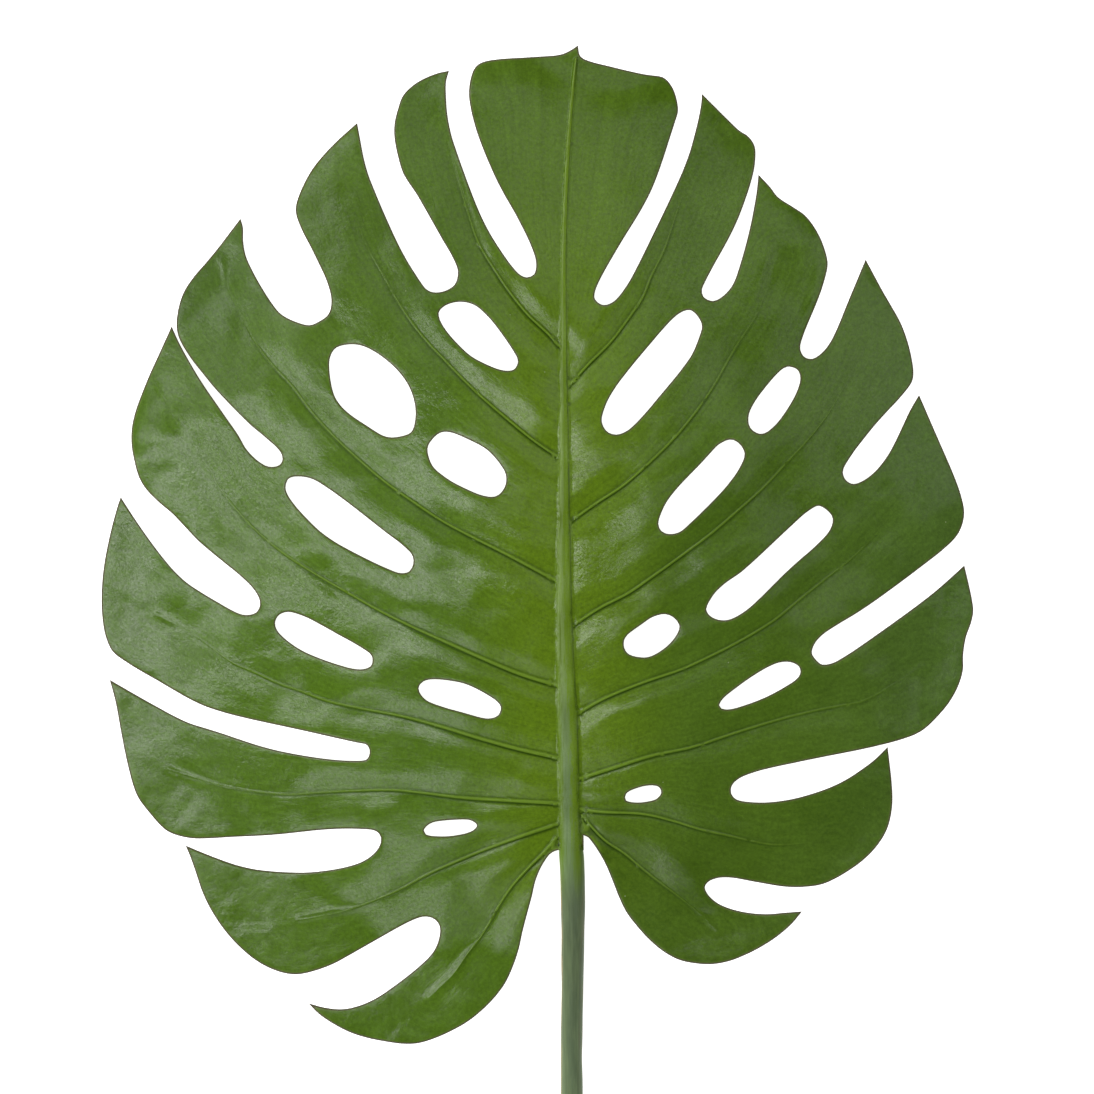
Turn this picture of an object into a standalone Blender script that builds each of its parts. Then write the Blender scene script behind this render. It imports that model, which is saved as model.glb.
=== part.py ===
"""A cut monstera leaf lying upper side up: a blade with deep cuts, holes, midrib and veins, and its stalk.

Sizes are in mm, in the leaf's own frame: the stalk meets the blade at (0, 0) and the tip is towards +Y.
"""

import math

import bpy
import numpy as np
from mathutils import Vector
from mathutils.geometry import delaunay_2d_cdt

MM = 0.001

# Driving sizes
BLADE_THICKNESS = 0.9
ARCH_HEIGHT = 28.0
ARCH_CENTRE = (-10.0, 165.0)
ARCH_REACH = (202.0, 226.0)
MIDRIB_DEPTH = 1.4
MIDRIB_RISE = 0.25
MIDRIB_VALLEY_DEPTH = 3.0
MIDRIB_VALLEY_WIDTH = 22.0
MIDRIB_VALLEY_SPAN = (0.0, 60.0, 240.0, 380.0)
VEIN_VALLEY_DEPTH = 1.5
VEIN_VALLEY_HALF_WIDTH = 7.0
VEIN_RIDGE_DEPTH = 1.3
VEIN_RIDGE_HALF_WIDTH = 1.8
CONTACT_BLEND = 2.0
SEAM_GAP = 0.3
STALK_GROOVE_DEPTH = 0.07
STALK_GROOVE_ANGLE = 0.45
VEIN_FADE = 0.75

# Colours, linear RGB, and roughness
BLADE_COLOUR, BLADE_ROUGHNESS = (0.07, 0.17, 0.025), 0.38
STALK_COLOUR, STALK_ROUGHNESS = (0.09, 0.16, 0.07), 0.45

# How finely the curves become facets
STEP = 1.0
RIM_TURN = math.radians(13)
RIM_SIDE = 8.5
VEIN_SIDE = 9.0
GRID_SIDE = 10.5
RIM_SAMPLE = 2.0
MIDRIB_ROWS = (0.0, -0.6, 0.6, -1.0, 1.0)
MIDRIB_FLANK = 5.0
CLEAR_OF_RIM = 2.6
MIDRIB_CLEAR_OF_RIM = 1.2
CLEAR_OF_LINES = 1.5
CLEAR_OF_ROWS = 4.6
KEEP_HULL = 0
CLOSEST_POINTS = 1e-5
SHARP_ANGLE = math.radians(50)
STALK_SIDES = 20
STALK_SIDE = 9.0

# The rim, a stretch from each sharp lobe tip to the next: left of the stalk, up to the tip, down the right
RIM = [
    [(-5, 0), (-8.5, -1.5), (-12, -6), (-15.5, -13), (-17.5, -21), (-22.5, -40), (-25, -51), (-31.5, -67),
     (-42, -79.5), (-54, -88.5), (-75, -97), (-89, -96.5), (-108.5, -91.8), (-124.5, -82.5), (-130, -77)],
    [(-130, -77), (-122.7, -79), (-114, -80), (-106.5, -78.8), (-97, -75), (-76.8, -60.5), (-68, -52),
     (-64.8, -45.5), (-64.2, -38.5), (-67.2, -34.5), (-72, -33.5), (-77.8, -35.3), (-103.5, -49.5),
     (-120, -58.3), (-137, -62.5), (-152.5, -57.8), (-168.5, -44.5), (-181, -26), (-188.2, -6), (-191.5, 2)],
    [(-191.5, 2), (-175.5, -4.5), (-159, -9.5), (-132.3, -11.5), (-118, -10), (-105.5, -7), (-98.8, -3.3),
     (-94.5, 1.5), (-93.5, 6.3), (-96, 9.5), (-104, 10.5), (-119.5, 10.3), (-148.5, 7.3), (-167.5, 6.3),
     (-186.5, 5.5), (-193.5, 6.5), (-201, 9.5), (-207.5, 16), (-215.5, 26.5), (-218.5, 35), (-222, 49.5),
     (-227, 76), (-229.5, 85)],
    [(-229.5, 85), (-205.8, 71.5), (-190.5, 63.7), (-177, 59.5), (-148.5, 50.5), (-119.5, 45.5),
     (-106.3, 44.8), (-100.5, 45.5), (-99, 49.5), (-100.5, 52.7), (-106.3, 54), (-131, 59.5), (-169.5, 68),
     (-184.5, 73), (-205.8, 84.8), (-219, 92.5), (-227.8, 99), (-231.5, 106.8), (-233.5, 121),
     (-232.5, 141), (-227, 167), (-224, 176.5)],
    [(-224, 176.5), (-214.5, 162), (-201, 144), (-191.5, 134.3), (-177, 125), (-165.5, 118.7),
     (-160.8, 117.5), (-155.5, 119), (-153.8, 123.5), (-155.5, 128.3), (-160.8, 134.5), (-179, 149.5),
     (-188.5, 158), (-195, 165.5), (-209.5, 178.5), (-214.5, 186), (-217.2, 195.5), (-218.5, 204.2),
     (-217.7, 214.8), (-211.5, 233), (-203, 252), (-198.5, 262)],
    [(-198.5, 262), (-194.3, 253), (-184.5, 236), (-173.2, 219.5), (-163.5, 205.5), (-160, 199.5),
     (-153, 193.2), (-148.5, 191.5), (-144, 192.5), (-142.5, 195.5), (-144, 199.5), (-160, 213.8),
     (-178, 232.5), (-184.4, 240.5), (-188.4, 245.5), (-191.8, 250.6), (-194.9, 256.6), (-196, 263),
     (-194.3, 274), (-190.5, 282.5), (-177, 299), (-164, 316)],
    [(-164, 316), (-162.7, 311.3), (-162.5, 303.5), (-160.8, 296), (-155, 284.5), (-148.5, 274),
     (-143.5, 268), (-136, 264), (-129, 262.3), (-124.5, 264), (-119.5, 268), (-118.2, 274),
     (-119.5, 281.5), (-128.3, 300.8), (-134, 312), (-136, 318), (-136, 323), (-130.5, 336.5),
     (-125, 344.6), (-115.5, 354.8), (-105.5, 363.8)],
    [(-105.5, 363.8), (-101, 341.5), (-96, 328), (-83, 299.3), (-75, 286), (-70.5, 280), (-66.5, 278.5),
     (-60.8, 279.5), (-56.5, 282.5), (-55, 287), (-55.5, 291.5), (-64.2, 307.6), (-77, 330), (-82, 337.5),
     (-84.5, 345), (-86.5, 354), (-87, 361.5), (-85.5, 369), (-83, 376.8), (-79, 381.5), (-72.3, 386),
     (-64.5, 389), (-59.5, 390)],
    [(-59.5, 390), (-61, 384.5), (-60, 365.3), (-58.3, 357.5), (-46, 323), (-40, 310), (-31.5, 296.5),
     (-24.5, 287.8), (-20.5, 286), (-17, 287.5), (-16, 290.5), (-16.5, 296.5), (-24, 313.5),
     (-35.5, 334.5), (-46, 360.5), (-49.5, 376.8), (-49, 384.5), (-46.5, 391.5), (-42, 394.5),
     (-16, 397), (-3.5, 398.2), (1.5, 400.4), (5, 402.8)],
    [(5, 402.8), (6.5, 397), (20, 392.5), (39.5, 388), (48, 386.5), (52.3, 381.5), (54.5, 375), (55, 369),
     (53, 362.5), (41.3, 329), (25, 301), (17.5, 287.8), (13.5, 279), (13.5, 275), (17.5, 272.2),
     (22, 273.5), (28, 280), (44, 310.8), (59.5, 345), (64, 360.5), (66.5, 372), (67, 378.5)],
    [(67, 378.5), (80, 365.5), (85.8, 360), (90.5, 356.8), (93.5, 352), (93.7, 345.3), (92.5, 337.5),
     (85.8, 317.5), (81, 307), (69, 285), (66.8, 279.3), (68, 276), (72.5, 274.3), (77, 276.5),
     (82, 282), (84.8, 289), (90.5, 309), (94.5, 330), (95.3, 337.8)],
    [(95.3, 337.8), (100, 333), (105, 326.5), (118.3, 317.5), (124, 310), (128, 301.3), (129.8, 293.5),
     (129.2, 288.8), (126, 278), (117.2, 256.2), (116, 250.5), (118, 246.5), (122, 245.5),
     (126.8, 248.5), (131.5, 254.5), (141, 276.5), (149, 295.5)],
    [(149, 295.5), (159.3, 276.5), (165.5, 266), (169.5, 256.2), (172, 246.5), (173, 239), (172.3, 234.5),
     (169, 229.5), (152.5, 211.3), (138.8, 193), (137.3, 188.8), (138.8, 185), (142.5, 183), (148, 185),
     (153.5, 189.3), (160.3, 198), (171.8, 221), (175.8, 227.7)],
    [(175.8, 227.7), (184, 208.5), (193.8, 185.5), (197, 176), (198.3, 169), (197.3, 162.5),
     (194.4, 156.8), (189.8, 152), (173, 138.8), (148.3, 121), (127, 107.5), (123, 102.8), (121.8, 98.5),
     (124, 95), (127, 92.8), (132, 93.5), (137.8, 96.5), (159.8, 111.5), (183.5, 129), (198.5, 142.3)],
    [(198.5, 142.3), (202, 127), (203, 119.5), (202, 114), (199.5, 107), (198, 98.5), (197.8, 90),
     (195.5, 82), (191.5, 74.5), (184.5, 66), (177, 59.3), (169.5, 56), (152.5, 51.5), (120, 45),
     (95, 39.5), (86.3, 36.3), (82, 32.5), (81.5, 28.5), (84, 25.5), (91.5, 24), (101.5, 24),
     (114.5, 26), (136, 33.5), (154.5, 46), (160, 51.5)],
    [(160, 51.5), (162, 34.5), (162.5, 25), (162, 18.5), (159.5, 9.5), (154.5, 1.5), (147, -6),
     (138.3, -12), (128.5, -17), (121, -18.5), (110, -18.7), (90.5, -15.5), (82, -14), (75.5, -14),
     (70.5, -15.8), (68.5, -18.5), (70, -22.3), (74.5, -26.5), (81, -29.5), (96, -32.3),
     (112.3, -31.3), (117.3, -31)],
    [(117.3, -31), (112.3, -37), (100.5, -46.5), (82, -55.5), (71, -57.5), (63.5, -57), (55, -55),
     (45, -49), (36.5, -40.5), (28.8, -30.5), (18, -5.5), (10, 6.5), (7.8, 7.5)],
    [(7.8, 7.5), (7.9, 0)],
    [(7.9, 0), (-5, 0)],
]

# The closed holes, from the tip down: seven left of the midrib, then seven right of it
HOLES = [
    [(-64.5, 268), (-61.8, 271.5), (-55, 273.7), (-47.5, 272.5), (-40.5, 267), (-27.5, 249.5), (-25, 244),
     (-27, 240), (-32, 239.5), (-40.5, 242.5), (-48.5, 246.8), (-61.8, 261)],
    [(-119, 245), (-116.3, 250.5), (-110.5, 252.5), (-103, 252), (-95, 248), (-87.5, 242), (-81, 234.5),
     (-77, 225.5), (-76, 217), (-78, 209), (-83, 206.8), (-90.5, 206.5), (-104, 214.5), (-111.5, 220),
     (-116.3, 226.5), (-118.5, 235.3)],
    [(-70, 200.5), (-68.5, 204), (-63.5, 208.5), (-58, 208.5), (-49.5, 205), (-40.5, 200), (-34, 193),
     (-31, 187.5), (-31.5, 181.5), (-35.5, 177), (-40.5, 176.7), (-50.3, 180.3), (-60, 185.5),
     (-67.5, 192)],
    [(-141, 181), (-139.5, 185.5), (-135.5, 186.7), (-127.8, 185.5), (-119, 180.3), (-94.3, 161.5),
     (-78, 148), (-77, 144), (-79, 139.5), (-83, 138.5), (-90.5, 141), (-113.5, 152.5), (-123, 158.8),
     (-138.3, 175)],
    [(-146.3, 113.5), (-144.5, 117.3), (-140.5, 119), (-134, 117.8), (-115, 108), (-98.5, 98),
     (-97.5, 95.3), (-98.5, 92), (-103.5, 90.5), (-112, 92), (-134, 100.5), (-145, 109.5)],
    [(-74.5, 81), (-72.8, 84), (-68.5, 85.5), (-60.8, 85), (-52, 83.5), (-36, 75), (-33.5, 71.5),
     (-35, 67.5), (-39.8, 66), (-48.5, 68), (-69.5, 74.5), (-73, 77.5)],
    [(-72, 10), (-68.5, 13.5), (-60, 15), (-48.5, 15), (-45.5, 12.5), (-47.5, 10), (-56, 7.5),
     (-65.5, 7), (-71, 8)],
    [(16.8, 214), (18, 220), (22, 228.5), (40, 251.5), (55.5, 268), (60.8, 269.7), (64, 267.5),
     (66.8, 262), (65.5, 256.5), (61.3, 246.8), (44, 224.8), (35.5, 215), (29.5, 209.5), (24, 207.5),
     (19.5, 209)],
    [(90, 216), (91.5, 221), (98, 230.5), (105, 238.5), (109.5, 241.5), (114.5, 240), (116, 236),
     (113.5, 227.5), (103, 212), (97, 208), (93, 209), (90.5, 211.8)],
    [(45, 163), (46.5, 168.5), (50.5, 176), (69, 196), (75.5, 202.8), (81.5, 205), (85.5, 202.8),
     (88, 198), (86, 192), (79.5, 182.5), (62, 164.5), (55.5, 159), (50.3, 158), (46.5, 159.5)],
    [(69, 120), (70.5, 124.5), (75.5, 131), (87, 139.5), (112, 162.5), (120.5, 169.8), (125.5, 172),
     (132, 166.5), (131, 160.5), (123.5, 152), (112, 142), (102.5, 132.8), (93.8, 124.3), (86, 118),
     (78.5, 115), (71.8, 116.5)],
    [(27.8, 104), (29, 107), (35.5, 112), (42, 116.5), (48.5, 118), (53, 116), (55.5, 112),
     (53.5, 106.8), (48, 101), (41, 97), (36.5, 96.5), (30.5, 98), (28.3, 100.5)],
    [(75.5, 72.5), (77.5, 76), (85, 82), (94.5, 88.5), (104.3, 93.5), (111, 94), (115.3, 91.8),
     (116, 88.5), (114, 85.5), (97.5, 76), (88, 72.5), (80.5, 70.5), (76.5, 71)],
    [(28.5, 26.5), (29.5, 28.8), (35.5, 31.5), (42, 32.5), (45.5, 31.5), (46.5, 28.8), (44.5, 26),
     (39.3, 24.3), (32.5, 24), (29, 25)],
]

# The midrib from the base to the tip, as (x, y, half width)
MIDRIB = [
    (1.5, 0, 6.2), (1.0, 14, 5.2), (0.6, 45, 5.2), (-0.4, 75, 5.0), (-1.4, 103, 4.2), (-1.9, 135.5, 3.8),
    (-1.9, 169, 3.0), (-1.9, 205, 2.4), (-2.1, 256.5, 1.6), (-2, 300, 1.3), (-0.5, 340, 1.1),
    (1.5, 370, 0.9), (4, 396, 0.5),
]

# The lateral veins, each from the midrib outwards: the left ones from the tip down, then the right ones
VEINS = [
    [(-4, 251.5), (-20.5, 268), (-36, 289), (-50.3, 319.5), (-59, 350)],
    [(-5.8, 197), (-31, 216), (-60.8, 244), (-83, 271), (-101, 303), (-109.5, 327)],
    [(-6.3, 135), (-48.5, 157), (-77, 174), (-103, 194), (-127, 218), (-148.5, 243.5), (-164.5, 270),
     (-173.2, 295)],
    [(-5.5, 82.5), (-43.5, 96.5), (-77, 111.5), (-107.5, 127.5), (-143.5, 149.5), (-158, 162),
     (-177, 186), (-195, 215)],
    [(-5.5, 46.5), (-43.5, 56), (-82, 67), (-120, 74.7), (-143.5, 83), (-167.5, 93.5), (-186.5, 107),
     (-206, 118)],
    [(-2.5, 23.5), (-29, 25), (-72.3, 28.8), (-105.8, 29.8), (-139, 27.8), (-175, 32.5), (-200, 40)],
    [(-5.5, 13), (-38.8, 1.5), (-70, -12), (-98.8, -26), (-135, -35.3)],
    [(-6, 6), (-20, -9), (-34, -27), (-44, -44), (-57, -62), (-69, -74)],
    [(0.2, 231.5), (21, 253.5), (37.5, 276.5), (48, 300), (64, 342.5)],
    [(1.5, 164.5), (27.8, 182.5), (53.5, 206.5), (71.8, 230.5), (93, 266), (105, 295)],
    [(2.5, 112.5), (30.5, 128.8), (56.5, 147.3), (85, 170), (109.5, 194), (130.5, 219), (148, 250)],
    [(4.5, 68.5), (37.5, 84), (66, 94.7), (102.5, 114.8), (131, 137.5), (142.5, 146.5), (170, 175)],
    [(6, 36), (42, 47.5), (85, 59.3), (123.5, 69.8), (147.5, 74.5), (178, 92)],
    [(5.5, 20.5), (37.5, 18.3), (66, 10.5), (104.5, 2.5), (133, 5)],
    [(7, 17.5), (19, 4.5), (40.5, -12), (60, -27), (75, -40)],
]

# Where the blade's edge lifts off the surface, as (x, y, radius, height)
LIFTS = [
    (-42, 388, 30, 5.0),
    (-105, 360, 34, 4.0),
    (-214, 208, 40, 7.0),
    (-214, 40, 38, 5.5),
    (-125, -85, 26, 3.0),
    (60, 372, 30, 3.5),
    (122, 312, 34, 5.5),
    (196, 178, 36, 6.5),
    (160, 24, 36, 5.0),
    (112, -34, 24, 3.0),
]

# The stalk's centre line from the blade to the cut end, as (x, y, height, radius)
STALK = [
    (1.6, -SEAM_GAP, 8.7, 6.1), (2.2, -12, 8.2, 6.15), (2.5, -26, 7.4, 6.1), (2.3, -60, 5.6, 5.6),
    (1.8, -100, 5.1, 5.4), (1.9, -125, 5.2, 5.5), (1.2, -170, 5.35, 5.65), (-1.0, -212, 5.5, 5.8),
    (-4.0, -250, 5.7, 6.0),
]


def distances_along(points):
    steps = np.linalg.norm(np.diff(points, axis=0), axis=1)
    return np.concatenate([[0.0], np.cumsum(steps)])


def smooth_line(points, closed=False):
    """Points about STEP apart on a centripetal Catmull-Rom curve through the given ones."""
    points = np.array(points, float)
    if closed:
        padded = np.vstack([points[-1:], points, points[:2]])
    else:
        padded = np.vstack([2 * points[:1] - points[1:2], points, 2 * points[-1:] - points[-2:-1]])
    line = []
    for a, b, c, d in zip(padded, padded[1:], padded[2:], padded[3:]):
        knots = np.cumsum([0.0] + [math.sqrt(np.linalg.norm(q - p)) for p, q in ((a, b), (b, c), (c, d))])
        count = max(1, round(float(np.linalg.norm(c - b)) / STEP))
        for t in np.linspace(knots[1], knots[2], count, endpoint=False):
            line.append(on_curve((a, b, c, d), knots, t))
    return np.array(line if closed else line + [points[-1]])


def on_curve(corners, knots, t):
    """The point of a Catmull-Rom span at t, by repeated mixing of its four corners."""
    level = list(corners)
    for reach in (1, 2, 3):
        for i in range(4 - reach):
            low, high = (knots[i], knots[i + reach]) if reach < 3 else (knots[1], knots[2])
            share = (t - low) / (high - low)
            level[i] = (1 - share) * level[i] + share * level[i + 1]
    return level[0]


def thinned(line, closed=False):
    """The points of a dense line that keep its shape: a new one after each RIM_TURN or RIM_SIDE."""
    kept = [0]
    turned = 0.0
    for i in range(1, len(line) - 1):
        before = line[i] - line[i - 1]
        after = line[i + 1] - line[i]
        turned += abs(math.remainder(math.atan2(*after) - math.atan2(*before), math.tau))
        if turned > RIM_TURN or np.linalg.norm(line[i] - line[kept[-1]]) > RIM_SIDE:
            kept.append(i)
            turned = 0.0
    if not closed:
        kept.append(len(line) - 1)
    return line[kept]


def rim_loops():
    outline = np.vstack([thinned(smooth_line(stretch))[:-1] for stretch in RIM])
    return [outline] + [thinned(smooth_line(hole, closed=True), closed=True) for hole in HOLES]


def inside(points, loops):
    """Whether each point is on the blade, by counting the rim edges to its right."""
    x, y = points[:, :1], points[:, 1:]
    crossings = np.zeros(len(points), int)
    for loop in loops:
        x0, y0 = loop.T
        x1, y1 = np.roll(loop, -1, axis=0).T
        spans = (y0 > y) != (y1 > y)
        rise = np.where(y1 == y0, 1.0, y1 - y0)
        crossings += (spans & (x < x0 + (y - y0) * (x1 - x0) / rise)).sum(axis=1)
    return crossings % 2 == 1


def nearest_on(points, line):
    """Each point's distance to a polyline, and how far along it the nearest place is, from 0 to 1."""
    starts, spans = line[:-1], np.diff(line, axis=0)
    offset = points[:, None, :] - starts
    share = np.clip((offset * spans).sum(axis=2) / (spans**2).sum(axis=1), 0.0, 1.0)
    distance = np.linalg.norm(offset - share[..., None] * spans, axis=2)
    best = distance.argmin(axis=1)
    rows = np.arange(len(points))
    along = distances_along(line)
    place = along[best] + share[rows, best] * np.diff(along)[best]
    return distance[rows, best], place / along[-1]


def spaced(line, side):
    """Evenly spaced points along a line."""
    along = distances_along(line)
    places = np.linspace(0.0, along[-1], max(2, round(along[-1] / side) + 1))
    return np.column_stack([np.interp(places, along, column) for column in line.T])


def arch(x, y):
    """The blade's broad form, with the lifted edges."""
    across = (x - ARCH_CENTRE[0]) / ARCH_REACH[0]
    along = (y - ARCH_CENTRE[1]) / ARCH_REACH[1]
    height = ARCH_HEIGHT * (1 - across**2 - along**2)
    for lift_x, lift_y, radius, rise in LIFTS:
        height += rise * np.exp(-((x - lift_x) ** 2 + (y - lift_y) ** 2) / radius**2)
    return height


def midrib_valley(distance, y):
    """How far the blade sinks towards the midrib, less so at the midrib's two ends."""
    share = np.interp(y, MIDRIB_VALLEY_SPAN, (0.0, 1.0, 1.0, 0.0))
    return MIDRIB_VALLEY_DEPTH * share * np.exp(-distance / MIDRIB_VALLEY_WIDTH)


def on_surface(height):
    """Heights that ease to a flat 0 where they would go below the surface the leaf lies on."""
    eased = (height + CONTACT_BLEND) ** 2 / (4 * CONTACT_BLEND)
    return np.where(height > CONTACT_BLEND, height, np.where(height < -CONTACT_BLEND, 0.0, eased))


def blade_heights(points, midrib, veins):
    """The upper and lower height of the blade at each point."""
    x, y = points.T
    from_midrib, _ = nearest_on(points, midrib[:, :2])
    upper = arch(x, y) - midrib_valley(from_midrib, y)
    depth = np.full(len(points), BLADE_THICKNESS)
    for vein in veins:
        distance, place = nearest_on(points, vein)
        strength = 1 - VEIN_FADE * place
        upper -= VEIN_VALLEY_DEPTH * strength * np.exp(-((distance / VEIN_VALLEY_HALF_WIDTH) ** 2))
        ridge = VEIN_RIDGE_DEPTH * strength * np.exp(-((distance / VEIN_RIDGE_HALF_WIDTH) ** 2))
        depth = np.maximum(depth, BLADE_THICKNESS + ridge)
    half_width = np.interp(y, midrib[:, 1], midrib[:, 2])
    roundness = np.sqrt(np.clip(1 - (from_midrib / half_width) ** 2, 0.0, 1.0))
    depth = np.maximum(depth, BLADE_THICKNESS + MIDRIB_DEPTH * half_width * roundness)
    lower = on_surface(upper - depth)
    return lower + depth + MIDRIB_RISE * half_width * roundness, lower


def kept_clear(points, taken, gap):
    """The points that lie further than gap from all of the taken ones."""
    if not len(taken):
        return points
    return np.array([p for p in points if ((taken - p) ** 2).sum(axis=1).min() > gap**2]).reshape(-1, 2)


def offset_rows(line, offsets):
    """Rows of points beside a line, one for each offset: a number, or one value for each point."""
    along = np.gradient(line, axis=0)
    normal = np.column_stack([-along[:, 1], along[:, 0]])
    normal /= np.linalg.norm(normal, axis=1)[:, None]
    return [line + normal * np.reshape(offset, (-1, 1)) for offset in offsets]


def inner_points(loops, midrib, veins):
    """Points inside the rim: rows along the midrib and the veins, then a grid between them."""
    rim = np.vstack([spaced(np.vstack([loop, loop[:1]]), RIM_SAMPLE) for loop in loops])
    ribs = spaced(midrib, VEIN_SIDE)
    flank = ribs[:, 2] + MIDRIB_FLANK
    rows = offset_rows(ribs[:, :2], [share * ribs[:, 2] for share in MIDRIB_ROWS])
    placed = np.vstack([kept_clear(row[inside(row, loops)], rim, MIDRIB_CLEAR_OF_RIM) for row in rows])
    centres = [spaced(vein, VEIN_SIDE) for vein in veins]
    beside = (-VEIN_VALLEY_HALF_WIDTH, VEIN_VALLEY_HALF_WIDTH)
    sides = [row for line in centres for row in offset_rows(line, beside)]
    layers = [(row, CLEAR_OF_LINES) for row in offset_rows(ribs[:, :2], (flank, -flank)) + centres]
    layers += [(row, CLEAR_OF_ROWS) for row in sides]
    for row, gap in layers:
        row = kept_clear(row[inside(row, loops)], rim, CLEAR_OF_RIM)
        placed = np.vstack([placed, kept_clear(row, placed, gap)])
    low, high = rim.min(axis=0), rim.max(axis=0)
    across = np.arange(low[0], high[0], GRID_SIDE)
    along = np.arange(low[1], high[1], GRID_SIDE * math.sqrt(3) / 2)
    grid = np.array([(x + (i % 2) * GRID_SIDE / 2, y) for i, y in enumerate(along) for x in across])
    grid = kept_clear(grid[inside(grid, loops)], rim, GRID_SIDE / 2)
    return np.vstack([placed, kept_clear(grid, placed, GRID_SIDE / 2)])


def triangulated(loops, points):
    """The flat blade as triangles: the rim's edges are kept, and what lies outside them is dropped."""
    edges, start = [], 0
    for loop in loops:
        count = len(loop)
        edges += [(start + i, start + (i + 1) % count) for i in range(count)]
        start += count
    flat = [Vector(p) for p in np.vstack(loops + [points])]
    whole = delaunay_2d_cdt(flat, edges, [], KEEP_HULL, CLOSEST_POINTS, False)
    corners = np.array([tuple(p) for p in whole[0]])
    faces = np.array(whole[2])
    return corners, faces[inside(corners[faces].mean(axis=1), loops)]


def sheet_solid(corners, faces, upper, lower):
    """One closed solid: the same triangles above and below, and a wall round every rim."""
    count = len(corners)
    vertices = np.vstack([np.column_stack([corners, upper]), np.column_stack([corners, lower])]) * MM
    sides = np.concatenate([faces[:, [0, 1]], faces[:, [1, 2]], faces[:, [2, 0]]])
    shared = {(int(b), int(a)) for a, b in sides}
    rim = [(int(a), int(b)) for a, b in sides if (int(a), int(b)) not in shared]
    walls = [(b, a, a + count) for a, b in rim] + [(b, a + count, b + count) for a, b in rim]
    return vertices.tolist(), faces.tolist() + (faces[:, ::-1] + count).tolist() + walls


def make_object(name, vertices, faces, material):
    mesh = bpy.data.meshes.new(name)
    mesh.from_pydata(vertices, [], faces)
    mesh.validate()
    mesh.shade_smooth()
    mesh.set_sharp_from_angle(angle=SHARP_ANGLE)
    mesh.materials.append(material)
    obj = bpy.data.objects.new(name, mesh)
    bpy.context.scene.collection.objects.link(obj)
    return obj


def make_material(name, colour, roughness):
    material = bpy.data.materials.new(name)
    material.use_nodes = True
    shader = material.node_tree.nodes["Principled BSDF"]
    shader.inputs["Base Color"].default_value = (*colour, 1.0)
    shader.inputs["Roughness"].default_value = roughness
    shader.inputs["Metallic"].default_value = 0.0
    return material


def make_blade():
    loops = rim_loops()
    midrib = smooth_line(MIDRIB)
    veins = [spaced(smooth_line(vein), VEIN_SIDE / 2) for vein in VEINS]
    corners, faces = triangulated(loops, inner_points(loops, midrib, veins))
    upper, lower = blade_heights(corners, midrib, veins)
    vertices, all_faces = sheet_solid(corners, faces, upper, lower)
    green = make_material("leaf_green", BLADE_COLOUR, BLADE_ROUGHNESS)
    return make_object("leaf_blade", vertices, all_faces, green)


def stalk_ring(x, y, height, radius):
    """One cross-section of the stalk, with the shallow groove along its top and its flat under side."""
    ring = []
    for i in range(STALK_SIDES):
        angle = math.tau * i / STALK_SIDES
        from_top = abs(math.remainder(angle - math.pi / 2, math.tau))
        reach = radius * (1 - STALK_GROOVE_DEPTH * math.exp(-((from_top / STALK_GROOVE_ANGLE) ** 2)))
        ring.append((x + reach * math.cos(angle), y, max(0.0, height + reach * math.sin(angle))))
    return ring


def make_stalk():
    rings = [stalk_ring(*station) for station in spaced(smooth_line(STALK), STALK_SIDE)]
    vertices = (np.array(rings).reshape(-1, 3) * MM).tolist()
    last = len(vertices) - STALK_SIDES
    faces = [tuple(reversed(range(STALK_SIDES))), tuple(range(last, len(vertices)))]
    for start in range(0, last, STALK_SIDES):
        for i in range(STALK_SIDES):
            a, b = start + i, start + (i + 1) % STALK_SIDES
            faces.append((a, b, b + STALK_SIDES, a + STALK_SIDES))
    green = make_material("stalk_green", STALK_COLOUR, STALK_ROUGHNESS)
    return make_object("leaf_stalk", vertices, faces, green)


def stand_on_origin(pieces):
    """Parents the pieces to an empty that puts the middle of their box, at its foot, on the origin."""
    corners = np.array([tuple(vertex.co) for piece in pieces for vertex in piece.data.vertices])
    low, high = corners.min(axis=0), corners.max(axis=0)
    leaf = bpy.data.objects.new("monstera_leaf", None)
    bpy.context.scene.collection.objects.link(leaf)
    leaf.location = (-(low[0] + high[0]) / 2, -(low[1] + high[1]) / 2, -low[2])
    for piece in pieces:
        piece.parent = leaf


for old in list(bpy.data.objects):
    bpy.data.objects.remove(old)
stand_on_origin([make_blade(), make_stalk()])
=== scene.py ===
"""The looks of a cut monstera leaf, lying upper side up: a fine blade with raised veins, and a stalk.

Sizes are in mm, in the leaf's own frame, until a mesh is made: the stalk meets the blade at (0, 0) and
the tip is towards +Y. The blade's outline is read from its solid, and its heights follow the same form.
"""

import math

import bmesh
import bpy
import numpy as np
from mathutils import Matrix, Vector, kdtree, noise
from mathutils.geometry import delaunay_2d_cdt


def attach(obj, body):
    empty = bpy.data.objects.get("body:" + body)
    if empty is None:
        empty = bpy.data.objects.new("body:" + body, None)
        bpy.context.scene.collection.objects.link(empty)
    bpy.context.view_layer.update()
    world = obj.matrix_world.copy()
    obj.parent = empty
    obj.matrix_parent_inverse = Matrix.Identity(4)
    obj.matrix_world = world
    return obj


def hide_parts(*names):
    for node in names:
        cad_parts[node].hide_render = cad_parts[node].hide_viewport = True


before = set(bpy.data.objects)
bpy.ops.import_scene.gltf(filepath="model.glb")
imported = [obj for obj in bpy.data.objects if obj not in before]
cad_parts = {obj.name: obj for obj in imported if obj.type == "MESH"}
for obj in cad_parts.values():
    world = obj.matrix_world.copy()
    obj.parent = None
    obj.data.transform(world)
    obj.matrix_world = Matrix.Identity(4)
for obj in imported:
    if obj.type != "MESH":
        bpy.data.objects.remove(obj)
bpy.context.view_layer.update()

MM = 0.001

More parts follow.
